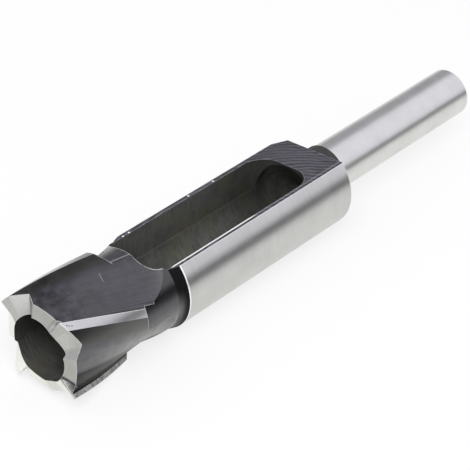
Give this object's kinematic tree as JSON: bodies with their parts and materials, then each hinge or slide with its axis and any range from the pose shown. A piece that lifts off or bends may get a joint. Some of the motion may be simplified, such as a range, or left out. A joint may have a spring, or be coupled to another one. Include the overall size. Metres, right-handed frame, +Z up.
{
  "type": "plug cutter",
  "caption": "Hollow steel plug cutter with a helical toothed head, a blind bore, a milled flat with a long ejection window and a plain round shank.",
  "frame": {"origin": "on the axis, in the plane of the tooth tips, at the middle of the bore's mouth", "axes": "+X along the axis from the mouth to the shank, +Z up as the cutter lies on a bench, so the milled flat faces up and leans slightly towards +Y"},
  "size_m": [0.1482, 0.0252, 0.0252],
  "materials": {
    "steel": "ground bright on the shank, body and lands, blackened on the flat, neck, flutes and bore"
  },
  "bodies": {
    "root": {"plug_cutter": "steel"}
  },
  "joints": []
}
